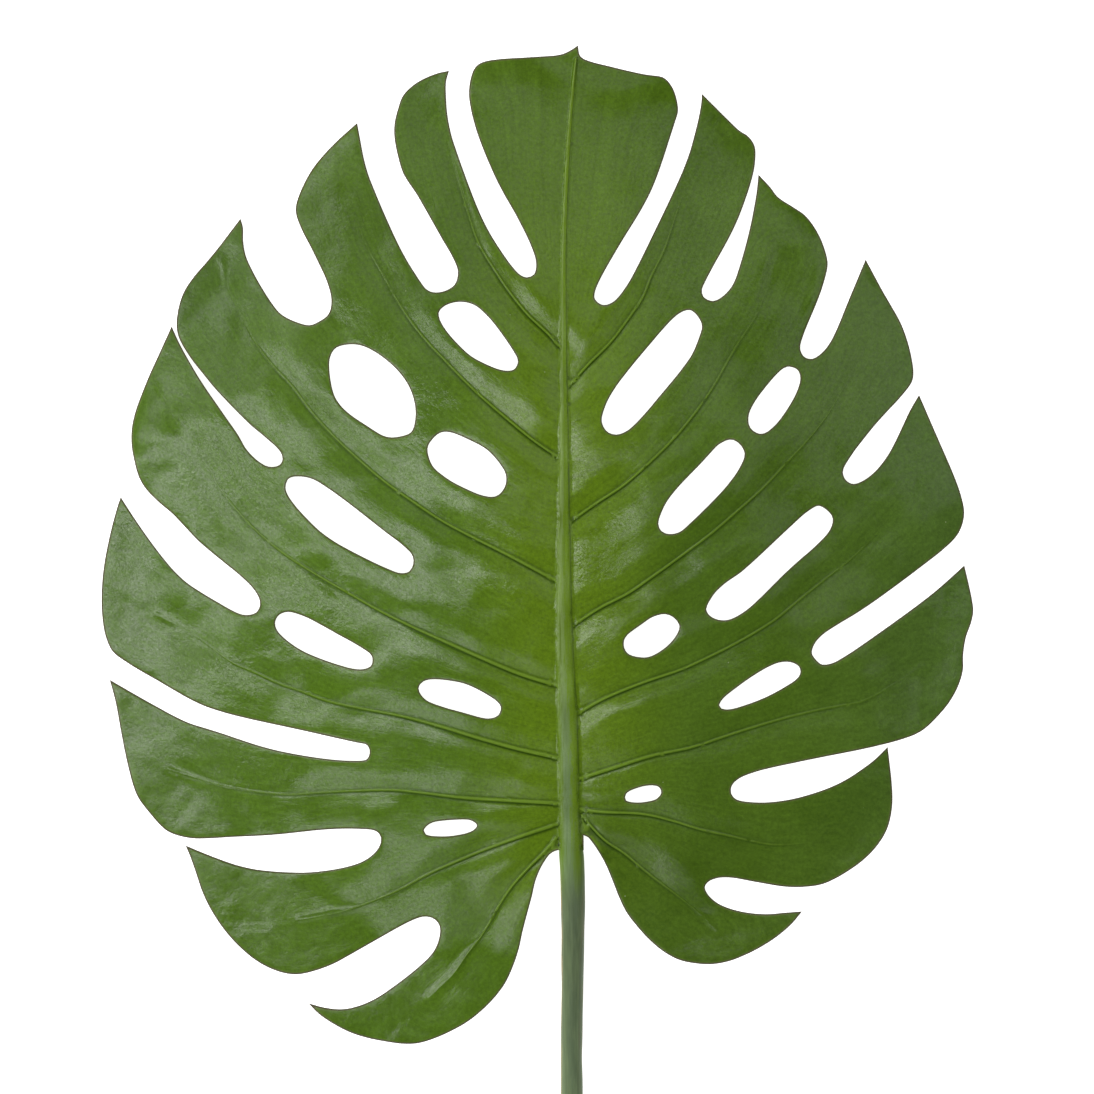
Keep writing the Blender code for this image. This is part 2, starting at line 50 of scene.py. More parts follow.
# The blade's form, as in its solid
BLADE_THICKNESS = 0.9
ARCH_HEIGHT = 28.0
ARCH_CENTRE = (-10.0, 165.0)
ARCH_REACH = (202.0, 226.0)
MIDRIB_DEPTH = 1.4
MIDRIB_RISE = 0.25
VEIN_VALLEY_DEPTH = 1.5
VEIN_VALLEY_HALF_WIDTH = 7.0
VEIN_RIDGE_DEPTH = 1.3
VEIN_RIDGE_HALF_WIDTH = 1.8
VEIN_FADE = 0.75
MIDRIB_VALLEY_DEPTH = 3.0
MIDRIB_VALLEY_WIDTH = 22.0
MIDRIB_VALLEY_SPAN = (0.0, 60.0, 240.0, 380.0)
CONTACT_BLEND = 2.0

# The midrib from the stalk to the tip, as (x, y, half width)
MIDRIB = [
    (1.5, 0, 6.2), (1.0, 14, 5.2), (0.6, 45, 5.2), (-0.4, 75, 5.0), (-1.4, 103, 4.2), (-1.9, 135.5, 3.8),
    (-1.9, 169, 3.0), (-1.9, 205, 2.4), (-2.1, 256.5, 1.6), (-2, 300, 1.3), (-0.5, 340, 1.1),
    (1.5, 370, 0.9), (4, 396, 0.5),
]

# Where the blade's edge lifts, as (x, y, radius, rise)
LIFTS = [
    (-42, 388, 30, 5.0), (-105, 360, 34, 4.0), (-214, 208, 40, 7.0), (-214, 40, 38, 5.5),
    (-125, -85, 26, 3.0), (60, 372, 30, 3.5), (122, 312, 34, 5.5), (196, 178, 36, 6.5),
    (160, 24, 36, 5.0), (112, -34, 24, 3.0),
]

# The lateral veins from the midrib outwards, from the tip of the blade down
LEFT_VEINS = [
    [(-4, 251.5), (-10, 258), (-20.5, 268), (-30, 280), (-36, 289), (-44.5, 303), (-50.2, 319.5),
     (-55, 335.5), (-59, 354)],
    [(-5.8, 197), (-16.8, 204.5), (-31, 216), (-46.5, 229.5), (-60.8, 244), (-73, 257.2), (-83, 271),
     (-92.5, 287.8), (-101, 303), (-106.5, 317.5), (-109.5, 327)],
    [(-6.3, 135), (-29, 147.2), (-48.5, 157), (-62.5, 164.5), (-77, 174), (-90.5, 183.5), (-103, 194),
     (-115.5, 205.5), (-127, 218), (-138.2, 232.5), (-148.5, 243.5), (-158, 256.5), (-164.5, 270),
     (-170.5, 281.5), (-173.2, 295)],
    [(-5.5, 82.5), (-24.5, 88.5), (-43.5, 96.5), (-62.5, 105), (-77, 111.5), (-94.2, 120),
     (-107.5, 127.5), (-124.5, 137.2), (-143.5, 149.5), (-158, 162), (-171.5, 177.5), (-177, 186),
     (-195, 215)],
    [(-5.5, 46.5), (-24.5, 50.8), (-43.5, 56), (-62.5, 61.8), (-82, 67), (-103, 71), (-120, 74.7),
     (-134.5, 80), (-143.5, 83), (-158, 89.5), (-167.5, 93.5), (-186.5, 107), (-206, 118)],
    [(-2.5, 23.5), (-29, 25), (-53, 26.5), (-72.2, 28.8), (-86.5, 30.2), (-105.8, 29.8), (-125, 28.8),
     (-139, 27.8), (-153, 28.8), (-167.5, 31), (-175, 32.5), (-200, 40)],
    [(-5.5, 13), (-19.5, 8.5), (-38.8, 1.5), (-54, -4.8), (-70, -12), (-84.5, -20), (-98.8, -26),
     (-113, -31), (-127.5, -34), (-135, -35.3)],
    [(-6, 6), (-12, -1), (-20, -9), (-28, -18), (-34, -27), (-39, -36), (-44, -44), (-51, -53),
     (-57, -62), (-63, -68), (-69, -74)],
]
RIGHT_VEINS = [
    [(0.2, 231.5), (9.5, 242), (21, 253.5), (30.5, 266), (37.5, 276.5), (41.2, 286), (48, 300),
     (54.5, 319.5), (59.5, 333.5), (64, 342.5)],
    [(1.5, 164.5), (13.5, 173), (27.8, 182.5), (42, 195), (53.5, 206.5), (63, 218), (71.8, 230.5),
     (79.5, 244), (85, 253.5), (93, 266), (105, 295)],
    [(2.5, 112.5), (15.5, 121), (30.5, 128.8), (39.5, 135), (56.5, 147.2), (71, 158), (85, 170),
     (97, 180.7), (109.5, 194), (121, 206.5), (130.5, 219), (148, 250)],
    [(4.5, 68.5), (18, 76), (37.5, 84), (56.5, 90.5), (66, 94.7), (85, 104.2), (102.5, 114.8),
     (116.5, 126), (131, 137.5), (142.5, 146.5), (170, 175)],
    [(5.8, 36), (23, 41.5), (42, 47.5), (61.2, 51.5), (85, 59.2), (104.2, 65), (123.5, 69.8),
     (137.8, 72.5), (147.5, 74.5), (178, 92)],
    [(5, 20.5), (18, 19.2), (37.5, 18.2), (51.5, 15), (66, 10.5), (80.5, 7.2), (94.5, 4), (104.5, 2.5),
     (133, 5)],
    [(7, 17.5), (12.5, 11), (19, 4.5), (27.5, -1), (35.2, -7.5), (40.5, -12), (60, -27), (75, -40)],
]

# Short thin veins that fan out from the stalk's end of the blade, towards the lowest lobes
FINE_VEINS = [
    [(7, 15), (10.5, 8.5), (15, 2), (20, -4), (26, -11), (31, -19)],
    [(6.8, 13.5), (9, 9), (11.5, 4), (14, -1), (17, -7)],
    [(-6, 4.5), (-9, 0), (-12.5, -6), (-15.5, -13), (-18, -20)],
]

# Low folds in the blade, each as a line, its height and its half width
FOLDS = [
    ([(-60, 362), (-54, 343), (-48.5, 326), (-42, 309), (-36, 293)], 0.6, 2.2),
    ([(100, 310), (98.5, 298), (95.5, 284), (91, 272)], 0.9, 3.2),
    ([(126, 297), (124.5, 282), (120, 268), (113.5, 254)], 0.7, 2.2),
    ([(-119, 254), (-113, 257), (-106, 256), (-99, 250)], 0.35, 1.5),
]

# The stalk where it meets the blade, as (x, y, height, radius)
STALK_TOP = (1.6, -0.3, 8.7, 6.1)

# The stalk's centre line from inside the blade to the cut end, in the same terms
STALK = [
    (0.7, 9.0, 9.4, 4.6), (1.2, 4.0, 9.1, 5.4), STALK_TOP, (2.2, -12, 8.2, 6.15),
    (2.5, -26, 7.4, 6.1), (2.3, -60, 5.6, 5.6), (1.8, -100, 5.1, 5.4), (1.9, -125, 5.2, 5.5),
    (1.2, -170, 5.35, 5.65), (-1.0, -212, 5.5, 5.8), (-4.0, -249.2, 5.7, 6.0), (-4.05, -250, 5.7, 5.7),
]

# The groove along the stalk as a share of its radius and an angle, and its unevenness as (length, height)
STALK_GROOVE_DEPTH = 0.07
STALK_GROOVE_ANGLE = 0.45
STALK_UNEVENNESS = (16.0, 0.22)

# The fine detail that the solids leave out
LEFT_RIB_WIDTHS = (0.6, 0.65, 0.8, 0.95, 1.0, 0.95, 0.9, 0.8)
RIGHT_RIB_WIDTHS = (0.6, 0.65, 0.7, 0.75, 0.9, 0.8, 0.6)
RIB_END_WIDTH = 0.3
RIB_NARROWING = 1.3
RIB_STRENGTH = 1.15
RIB_FADE = 0.8
RIB_TAPER = 0.2
RIB_RISE = 0.4
CREASE_DEPTH = 0.2
CREASE_HALF_WIDTH = 0.65
CREASE_GAP = 0.35
# On the veins' upper sides the creases are shallower and their painted shade fainter
UPPER_CREASE = 0.5
FINE_RIB_WIDTH = 0.4
EDGE_THICKNESS = 0.32
EDGE_ROUNDING = 1.5
WAVE_CLEAR_OF_MIDRIB = 14.0
MERGING_LENGTH = 14.0
STALK_END_OF_BLADE = 2.0

# Gentle waves of the blade, as (length, height, seed)
BROAD_WAVE = (50.0, 1.4, 228.63)
MIDDLE_WAVE = (20.0, 0.6, 123.54)
SMALL_WAVE = (8.0, 0.13, 9.1)

# Waves that follow the veins, and how they are stretched across and along the space between two veins
PLEAT = (6.0, 0.06, 4.4)
PLEAT_STRETCH = (50.0, 0.2)
QUILT = (16.0, 0.5, 126.93)
QUILT_STRETCH = (40.0, 0.55)
LOWEST_SPACE = 40.0

# How finely the surfaces are cut into triangles
CORNER = math.radians(38)
RIM_STEP = 1.35
RIM_ROWS = (0.5, 1.2)
RIM_ROW_CLEARANCE = 0.9
RIM_SAMPLE = 0.5
MIDRIB_STEP = 2.0
VEIN_STEP = 2.5
LINE_STEP = 2.6
VEIN_ROWS = (0.0, -0.35, 0.35, -0.7, 0.7, -1.05, 1.05, -1.5, 1.5, -2.3, 2.3, -3.6, 3.6)
MIDRIB_ROWS = (0.0, -0.3, 0.3, -0.6, 0.6, -0.85, 0.85, -1.0, 1.0)
MIDRIB_FLANKS = (0.6, 1.5, 3.0)
GRID_SIDE = 2.55
CLEAR_OF_LINES = 0.75
CLOSEST_POINTS = 1e-5
KEEP_HULL = 0
POINTS_AT_ONCE = 4000
WELD = 0.005
SAME_LEVEL = 0.01
FACES_UP = 0.1
TINY = 1e-6
STALK_SIDES = 56
STALK_STEP = 1.6
CUT_RINGS = (0.75, 0.45, 0.15)

# Colours, linear RGB
DEEP_GREEN = (0.055, 0.112, 0.005)
MID_GREEN = (0.071, 0.138, 0.010)
CENTRE_GREEN = (0.104, 0.185, 0.0045)
# The lobes' tips: a duller green of their own, greyed further as a painted faint sheen
TIP_GREEN_AND_SHEEN = (0.068, 0.129, 0.023)
# Painted light: the left half's lighter green stands in for the light falling from the left
LEFT_PAINTED_LIGHT_GREEN = (0.076, 0.156, 0.0075)
# Painted shade, for the creases beside the ribs and the midrib's right edge
CREASE_SHADE_GREEN = (0.013, 0.035, 0.002)
RIB_GREEN = (0.14, 0.24, 0.02)
# The midrib's lit left side, painted as a pale sheen that greys towards the base
MIDRIB_PAINTED_SHEEN = (0.178, 0.266, 0.066)
MIDRIB_PAINTED_GREY_SHEEN = (0.135, 0.208, 0.078)
MIDRIB_GREEN = (0.107, 0.187, 0.007)
PALE_RIM = (0.16, 0.2, 0.06)
DARK_RIM = (0.085, 0.070, 0.042)
SPECK = (0.22, 0.28, 0.12)
UNDER_GREEN = (0.11, 0.19, 0.06)
UNDER_PALE = (0.15, 0.23, 0.08)
UNDER_RIB = (0.22, 0.30, 0.12)
STALK_DARK = (0.088, 0.124, 0.064)
STALK_LIGHT = (0.113, 0.156, 0.074)
STALK_TAN = (0.42, 0.30, 0.16)
STALK_BROWN = (0.12, 0.10, 0.06)
CUT_PALE = (0.42, 0.46, 0.22)
CUT_DARK = (0.25, 0.30, 0.12)
FLOOR_COLOURS = (0.86, 0.86, 0.86), (0.90, 0.90, 0.90)

# Where the colours change: up the leaf, out from the midrib, in from the rim and down the stalk
LEFT_LIGHT_FADES = (180.0, 320.0)
CENTRE_FADES = (210.0, 380.0)
BASE_FADES = (0.0, 55.0)
LOWEST_LOBES = (-30.0, 60.0)
CENTRE_REACH = (6.0, 70.0)
TIP_REACH = (90.0, 215.0)
PALE_RIM_REACH = (0.5, 1.6)
DARK_RIM_REACH = (0.3, 1.1)
# Where the painted sheen band on the midrib ends on the right, and where it turns grey
MIDRIB_SHEEN_EDGE_SHIFTS = (30.0, 170.0)
MIDRIB_GREY_SHEEN_FADES = (30.0, 120.0)
# Down the stalk, a painted lightening that evens out the light's fall-off
STALK_PAINTED_LIGHTENING = (40.0, 110.0)
STALK_MERGES = (0.0, 30.0)

# How much of the left half's lighter green shows, which is painted light from the left, and the range of a
# noise that its ramps use
LEFT_LIGHT_SHARE = 0.6
SPREAD = (0.3, 0.7)

# How fine the noise in the materials is, in waves to a metre
PATCHES = 22.0
GRAIN = 620.0
CELLS = 850.0
WRINKLES = 240.0
WRINKLED_PLACES = 16.0
GLOSS_PATCHES = 60.0
SPECKS = 70.0

# Relief and specks that are too fine for the meshes, in metres
WRINKLE_HEIGHT = 0.0002
GRAIN_HEIGHT = 0.00004
SPECK_RADIUS = 0.0004

# Soft lights overhead, in metres, as (name, place, width and length, radiance); they show in the sheen
SHEEN_LIGHTS = [
    ("strip_outer", (-1.80, -0.3, 2.3), (0.26, 2.6), 1.8),
    ("strip_far", (-1.36, -0.3, 2.3), (0.26, 2.6), 2.5),
    ("strip_middle", (-0.95, 0.25, 2.4), (0.24, 1.5), 2.9),
    ("strip_middle_low", (-0.95, -1.3, 2.4), (0.28, 0.9), 3.0),
    ("strip_near", (-0.58, 0.25, 2.4), (0.20, 1.5), 2.0),
    ("strip_near_low", (-0.47, -1.3, 2.4), (0.42, 0.9), 2.3),
    ("strip_inner", (-0.26, 0.0, 2.4), (0.16, 2.4), 0.9),
    ("softbox_corner", (-1.0, 1.35, 2.3), (0.8, 0.5), 1.6),
    ("softbox_left", (-1.2, 0.75, 2.2), (1.0, 0.7), 0.7),
    ("softbox_right", (1.4, 0.6, 2.3), (1.4, 1.2), 0.6),
    ("softbox_top", (0.1, 1.1, 2.3), (1.2, 0.8), 0.6),
    ("softbox_foot", (0.0, -1.45, 2.3), (0.7, 0.45), 0.7),
]

# Low soft lights at the four sides, which stay out of the sheen
SIDE_LIGHTS = [
    ("side_left", (-2.6, 0.0, 1.1), (1.3, 3.0), 5.5),
    ("side_right", (2.6, 0.0, 1.0), (1.1, 3.0), 2.4),
    ("side_top", (-0.4, 2.8, 1.1), (3.0, 1.2), 3.2),
    ("side_foot", (-0.4, -2.8, 1.1), (3.0, 1.2), 2.4),
]
LIGHT_TARGET = (0.0, 0.05, 0.0)
WORLD_STRENGTH = 0.08


def distances_along(points):
    """How far along their line each of the points lies."""
    steps = np.linalg.norm(np.diff(points, axis=0), axis=1)
    return np.concatenate([[0.0], np.cumsum(steps)])


def spaced(line, side):
    """Evenly spaced points along a line."""
    along = distances_along(line)
    places = np.linspace(0.0, along[-1], max(2, round(along[-1] / side) + 1))
    return np.column_stack([np.interp(places, along, column) for column in line.T])


def on_curve(corners, knots, t):
    """The point at t on the curve between the middle two of four corners, by repeated mixing of them."""
    level = list(corners)
    for reach in (1, 2, 3):
        for i in range(4 - reach):
            low, high = (knots[i], knots[i + reach]) if reach < 3 else (knots[1], knots[2])
            share = (t - low) / (high - low)
            level[i] = (1 - share) * level[i] + share * level[i + 1]
    return level[0]


def smooth_line(points, step, closed=False):
    """Points about a step apart on a smooth curve through the given ones, which makes no loops."""
    points = np.array(points, float)
    if closed:
        padded = np.vstack([points[-1:], points, points[:2]])
    else:
        padded = np.vstack([2 * points[:1] - points[1:2], points, 2 * points[-1:] - points[-2:-1]])
    line = []
    for a, b, c, d in zip(padded, padded[1:], padded[2:], padded[3:]):
        gaps = [math.sqrt(np.linalg.norm(q - p)) for p, q in ((a, b), (b, c), (c, d))]
        knots = np.cumsum([0.0] + gaps)
        count = max(1, round(float(np.linalg.norm(c - b)) / step))
        for t in np.linspace(knots[1], knots[2], count, endpoint=False):
            line.append(on_curve((a, b, c, d), knots, t))
    return np.array(line if closed else line + [points[-1]])


def nearest_on(points, line):
    """Distance to a polyline, how far along it the nearest place is from 0 to 1, and the side of it."""
    starts, spans = line[:-1], np.diff(line, axis=0)
    along = distances_along(line)
    found = []
    for first in range(0, len(points), POINTS_AT_ONCE):
        some = points[first:first + POINTS_AT_ONCE]
        offset = some[:, None, :] - starts
        share = np.clip((offset * spans).sum(axis=2) / (spans**2).sum(axis=1), 0.0, 1.0)
        distance = np.linalg.norm(offset - share[..., None] * spans, axis=2)
        best = distance.argmin(axis=1)
        rows = np.arange(len(some))
        place = (along[best] + share[rows, best] * np.diff(along)[best]) / along[-1]
        side = np.sign(np.cross(spans[best], offset[rows, best]))
        found.append(np.column_stack([distance[rows, best], place, side]))
    return np.vstack(found).T


def solid_rims(mesh):
    """The loops round the blade and its holes: where the solid's upper faces meet its vertical walls."""
    solid = bmesh.new()
    solid.from_mesh(mesh)
    bmesh.ops.remove_doubles(solid, verts=solid.verts, dist=WELD * MM)
    solid.normal_update()
    following = {}
    for face in solid.faces:
        if face.normal.z > FACES_UP:
            for loop in face.loops:
                if loop.link_loop_radial_next.face.normal.z < FACES_UP:
                    following[loop.vert.index] = (loop.link_loop_next.vert.index, loop.vert.co.xy / MM)
    solid.free()
    loops = []
    while following:
        start = at = next(iter(following))
        points = []
        while at in following:
            at, place = following.pop(at)
            points.append(place)
        assert at == start
        loops.append(np.array([tuple(p) for p in points]))
    return sorted(loops, key=len, reverse=True)


def smoothed_rim(loop):
    """A loop as a smooth curve that keeps its sharp corners."""
    before = loop - np.roll(loop, 1, axis=0)
    after = np.roll(loop, -1, axis=0) - loop
    turn = np.arctan2(after[:, 1], after[:, 0]) - np.arctan2(before[:, 1], before[:, 0])
    turn = np.abs((turn + math.pi) % math.tau - math.pi)
    corners = np.flatnonzero(turn > CORNER)
    if not len(corners):
        return smooth_line(loop, RIM_STEP, closed=True)
    loop = np.roll(loop, -corners[0], axis=0)
    corners = list(corners - corners[0]) + [len(loop)]
    whole = np.vstack([loop, loop[:1]])
    stretches = [whole[a:b + 1] for a, b in zip(corners, corners[1:])]
    return np.vstack([smooth_line(stretch, RIM_STEP)[:-1] for stretch in stretches])


def inside(points, loops):
    """Whether each point is on the blade, by counting the rim edges to its right."""
    starts = np.vstack(loops)
    ends = np.vstack([np.roll(loop, -1, axis=0) for loop in loops])
    (x0, y0), (x1, y1) = starts.T, ends.T
    slope = (x1 - x0) / np.where(y1 == y0, 1.0, y1 - y0)
    found = []
    for first in range(0, len(points), POINTS_AT_ONCE):
        x, y = points[first:first + POINTS_AT_ONCE].T[:, :, None]
        spans = (y0 > y) != (y1 > y)
        found.append((spans & (x < x0 + (y - y0) * slope)).sum(axis=1) % 2 == 1)
    return np.concatenate(found)


def tree_of(points):
    """A search tree of flat points."""
    tree = kdtree.KDTree(len(points))
    for i, point in enumerate(points):
        tree.insert((*point, 0.0), i)
    tree.balance()
    return tree


def distance_to(points, tree):
    """How far each point is from the nearest one in the tree."""
    return np.array([tree.find((*point, 0.0))[2] for point in points])


def kept_clear(points, tree, gap):
    """The points that lie further than gap from all those in the tree."""
    return points[distance_to(points, tree) > gap]


def offset_rows(line, offsets):
    """Rows of points beside a line, one for each offset: a number, or one value for each point."""
    along = np.gradient(line, axis=0)
    normal = np.column_stack([-along[:, 1], along[:, 0]])
    normal /= np.linalg.norm(normal, axis=1)[:, None]
    return [line + normal * np.reshape(offset, (-1, 1)) for offset in offsets]


def rim_rows(loops, rim):
    """Rows just inside the rims, without the points that lie too near to another stretch of rim."""
    rows = []
    for offset in RIM_ROWS:
        for loop in loops:
            (row,) = offset_rows(np.vstack([loop[-1:], loop, loop[:1]]), (offset,))
            rows.append(kept_clear(row[1:-1], rim, offset * RIM_ROW_CLEARANCE))
    return np.vstack(rows)


def inner_points(loops, rim, midrib, veins):
    """Points inside the rims: rows beside the rims, the midrib and the veins, then a grid between."""
    edge = rim_rows(loops, rim)
    placed = edge[inside(edge, loops)]
    ribs = spaced(midrib, LINE_STEP)
    half = ribs[:, 2]
    layers = [np.vstack(offset_rows(ribs[:, :2], [share * half for share in MIDRIB_ROWS]))]
    flanks = [half + flank for flank in MIDRIB_FLANKS] + [-half - flank for flank in MIDRIB_FLANKS]
    layers += [np.vstack(offset_rows(ribs[:, :2], flanks))]
    layers += [np.vstack(offset_rows(spaced(vein, LINE_STEP), VEIN_ROWS)) for vein in veins]
    clear = RIM_ROWS[-1] + CLEAR_OF_LINES
    for layer in layers:
        layer = kept_clear(layer[inside(layer, loops)], rim, clear)
        placed = np.vstack([placed, kept_clear(layer, tree_of(placed), CLEAR_OF_LINES)])
    low, high = loops[0].min(axis=0), loops[0].max(axis=0)
    across = np.arange(low[0], high[0], GRID_SIDE)
    along = np.arange(low[1], high[1], GRID_SIDE * math.sqrt(3) / 2)
    grid = np.array([(x + (i % 2) * GRID_SIDE / 2, y) for i, y in enumerate(along) for x in across])
    grid = kept_clear(grid[inside(grid, loops)], rim, clear)
    return np.vstack([placed, kept_clear(grid, tree_of(placed), GRID_SIDE / 2)])


def triangulated(loops, points):
    """The flat blade as triangles: the rims' edges are kept, and what lies outside them is dropped."""
    edges, start = [], 0
    for loop in loops:
        count = len(loop)
        edges += [(start + i, start + (i + 1) % count) for i in range(count)]
        start += count
    flat = [Vector(p) for p in np.vstack(loops + [points])]
    whole = delaunay_2d_cdt(flat, edges, [], KEEP_HULL, CLOSEST_POINTS, False)
    corners = np.array([tuple(p) for p in whole[0]])
    faces = np.array(whole[2])
    return corners, faces[inside(corners[faces].mean(axis=1), loops)]


def arch(x, y):
    """The blade's broad form, with the lifted edges."""
    across = (x - ARCH_CENTRE[0]) / ARCH_REACH[0]
    along = (y - ARCH_CENTRE[1]) / ARCH_REACH[1]
    height = ARCH_HEIGHT * (1 - across**2 - along**2)
    for lift_x, lift_y, radius, rise in LIFTS:
        height += rise * np.exp(-((x - lift_x) ** 2 + (y - lift_y) ** 2) / radius**2)
    return height


def midrib_valley(distance, y):
    """How far the blade sinks towards the midrib, less so at the midrib's two ends."""
    share = np.interp(y, MIDRIB_VALLEY_SPAN, (0.0, 1.0, 1.0, 0.0))
    return MIDRIB_VALLEY_DEPTH * share * np.exp(-distance / MIDRIB_VALLEY_WIDTH)


def on_surface(height):
    """Heights that ease to a flat 0 where they would go below the surface the leaf lies on."""
    eased = (height + CONTACT_BLEND) ** 2 / (4 * CONTACT_BLEND)
    return np.where(height > CONTACT_BLEND, height, np.where(height < -CONTACT_BLEND, 0.0, eased))


def bump(distance, half_width):
    """A smooth hump: 1 at distance 0, dying away over half_width."""
    return np.exp(-((distance / half_width) ** 2))


def dome(distance, half_width):
    """A round ridge: 1 at distance 0 and 0 from half_width on."""
    return np.sqrt(np.clip(1 - (distance / half_width) ** 2, 0.0, 1.0))


def waves(x, y, wave):
    """Gentle random waves, as (length, height, seed)."""
    length, height, seed = wave
    return height * np.array([noise.noise(Vector((a / length, b / length, seed))) for a, b in zip(x, y)])


def fan_places(from_midrib, measured):
    """Where each point of one half lies between its veins: 0 on the midrib, 1 on the first vein, and on."""
    distances = np.array([from_midrib] + [distance for distance, _ in measured])
    passed = sum(below.astype(int) for _, below in measured)
    rows = np.arange(len(from_midrib))
    above = distances[passed, rows]
    last = passed == len(measured)
    to_next = distances[np.minimum(passed + 1, len(measured)), rows]
    return passed + above / (above + np.where(last, LOWEST_SPACE, to_next) + TINY)


def vein_forms(points, from_midrib, left_veins, right_veins):
    """The lateral veins' valleys, depths, ribs and creases, and where each point lies between them."""
    valley, rib, crease = np.zeros((3, len(points)))
    depth = np.full(len(points), BLADE_THICKNESS)
    fans = []
    for veins, widths, turn in ((left_veins, LEFT_RIB_WIDTHS, 1), (right_veins, RIGHT_RIB_WIDTHS, -1)):
        measured = []
        for vein, start_width in zip(veins, widths):
            distance, place, side = nearest_on(points, vein)
            below = side * turn > 0
            measured.append((distance, below))
            strength = 1 - VEIN_FADE * place
            valley += VEIN_VALLEY_DEPTH * strength * bump(distance, VEIN_VALLEY_HALF_WIDTH)
            ridge = VEIN_RIDGE_DEPTH * strength * bump(distance, VEIN_RIDGE_HALF_WIDTH)
            depth = np.maximum(depth, BLADE_THICKNESS + ridge)
            width = RIB_END_WIDTH + (start_width - RIB_END_WIDTH) * (1 - place) ** RIB_NARROWING
            fade = np.clip(RIB_STRENGTH * (1 - place), 0.0, 1.0) ** RIB_FADE
            fade *= np.clip((1 - place) / RIB_TAPER, 0.0, 1.0)
            rib = np.maximum(rib, fade * dome(distance, width))
            dip = bump(distance - width - CREASE_GAP, CREASE_HALF_WIDTH)
            crease = np.maximum(crease, fade * np.where(below, 1.0, UPPER_CREASE) * dip)
        fans.append(fan_places(from_midrib, measured))
    return valley, depth, rib, crease, fans


def with_fine_veins(points, rib, crease):
    """The ribs and creases with those of the short thin veins."""
    for vein in FINE_VEINS:
        distance, place, _ = nearest_on(points, smooth_line(vein, VEIN_STEP))
        rib = np.maximum(rib, (1 - place) * dome(distance, FINE_RIB_WIDTH))
        dip = bump(distance - FINE_RIB_WIDTH - CREASE_GAP, CREASE_HALF_WIDTH)
        crease = np.maximum(crease, (1 - place) * dip * UPPER_CREASE)
    return rib, crease


def fine_relief(points, from_midrib, fan, calm):
    """The low folds and the smaller waves, which are still near the midrib."""
    relief = np.zeros(len(points))
    for fold, height, half_width in FOLDS:
        distance, place, _ = nearest_on(points, smooth_line(fold, VEIN_STEP))
        relief += height * np.sin(math.pi * place) * bump(distance, half_width)
    relief += calm * waves(*points.T, SMALL_WAVE)
    relief += calm * waves(fan * PLEAT_STRETCH[0], from_midrib * PLEAT_STRETCH[1], PLEAT)
    relief += calm * waves(fan * QUILT_STRETCH[0], from_midrib * QUILT_STRETCH[1], QUILT)
    return relief


def shaped(points, midrib, left_veins, right_veins, rim):
    """Upper and lower heights at each point, and what the materials need to know about it."""
    x, y = points.T
    from_midrib, _, midrib_side = nearest_on(points, midrib[:, :2])
    half_width = np.interp(y, midrib[:, 1], midrib[:, 2])
    on_midrib = from_midrib < half_width
    valley, depth, rib, crease, fans = vein_forms(points, from_midrib, left_veins, right_veins)
    rib, crease = with_fine_veins(points, rib, crease)
    fan = np.where(midrib_side > 0, fans[0], fans[1])
    calm = np.clip((from_midrib - half_width) / WAVE_CLEAR_OF_MIDRIB, 0.0, 1.0)
    upper = arch(x, y) - midrib_valley(from_midrib, y) - valley
    upper += calm * (waves(x, y, BROAD_WAVE) + waves(x, y, MIDDLE_WAVE))
    roundness = dome(from_midrib, half_width)
    depth = np.maximum(depth, BLADE_THICKNESS + MIDRIB_DEPTH * half_width * roundness)
    lower = on_surface(upper - depth)
    off_midrib = 1 - roundness
    relief = MIDRIB_RISE * half_width * roundness
    relief += off_midrib * (RIB_RISE * rib - CREASE_DEPTH * crease)
    relief += fine_relief(points, from_midrib, fan, calm)
    top = lower + depth + relief
    stalk_x, _, stalk_z, stalk_radius = STALK_TOP
    round_top = stalk_z + stalk_radius * dome(x - stalk_x, stalk_radius)
    top += np.clip(1 - y / MERGING_LENGTH, 0.0, 1.0) ** 2 * on_midrib * (round_top - top)
    at_stalk = (y < STALK_END_OF_BLADE) & on_midrib
    from_rim = np.where(at_stalk, 2 * EDGE_ROUNDING, distance_to(points, rim))
    thinning = (BLADE_THICKNESS - EDGE_THICKNESS) * (1 - dome(EDGE_ROUNDING - from_rim, EDGE_ROUNDING))
    thinning = np.where(from_rim < EDGE_ROUNDING, thinning, 0.0)
    facts = {
        "rib": rib * off_midrib, "crease": crease * off_midrib, "midrib": roundness,
        "from_rim": from_rim, "fan": fan, "from_midrib": from_midrib, "towards_tip": y,
        "across": np.clip(-midrib_side * from_midrib / half_width, -2.0, 2.0),
    }
    return top - thinning / 2, lower + thinning / 2, facts


def make_piece(name, vertices, faces, materials, face_materials, facts, shift):
    """A smooth-shaded mesh object in the frame, with the given facts as attributes of its points."""
    mesh = bpy.data.meshes.new(name)
    mesh.from_pydata(((np.array(vertices) + shift) * MM).tolist(), [], faces)
    for material in materials:
        mesh.materials.append(material)
    mesh.polygons.foreach_set("material_index", face_materials)
    for fact, values in facts.items():
        attribute = mesh.attributes.new(fact, "FLOAT", "POINT")
        attribute.data.foreach_set("value", np.asarray(values, np.float32))
    mesh.validate()
    mesh.shade_smooth()
    obj = bpy.data.objects.new(name, mesh)
    bpy.context.scene.collection.objects.link(obj)
    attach(obj, "root")
    return obj


